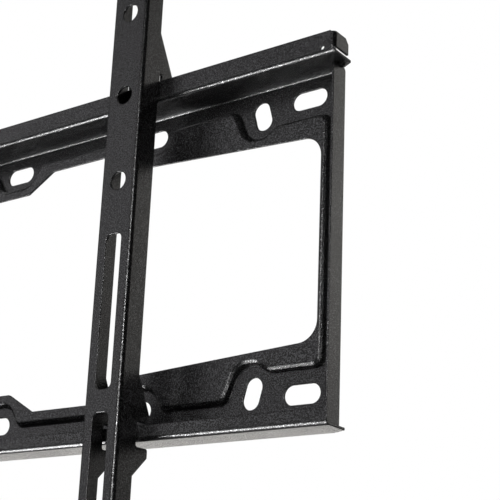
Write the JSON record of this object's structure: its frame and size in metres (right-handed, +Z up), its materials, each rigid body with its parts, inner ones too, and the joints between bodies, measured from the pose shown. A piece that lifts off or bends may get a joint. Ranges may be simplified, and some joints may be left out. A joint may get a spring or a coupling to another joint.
{
  "type": "fixed television wall bracket",
  "caption": "Fixed wall bracket for a flat television: a wide pressed wall plate with a raised border, folded lips and a window, and upright slotted arms that hook over it.",
  "frame": {"origin": "centre of the rows of wall slots, in the plane of the wall", "axes": "+X along the plate, +Y into the wall, +Z up; the arms are on the -Y side"},
  "size_m": [0.648, 0.0367, 0.43],
  "materials": {
    "black_powder_coat": "fine textured black powder coat, semi matt"
  },
  "bodies": {
    "root": {"wall_plate": "black_powder_coat", "tv_arm_left": "black_powder_coat", "tv_arm_right": "black_powder_coat"}
  },
  "joints": []
}
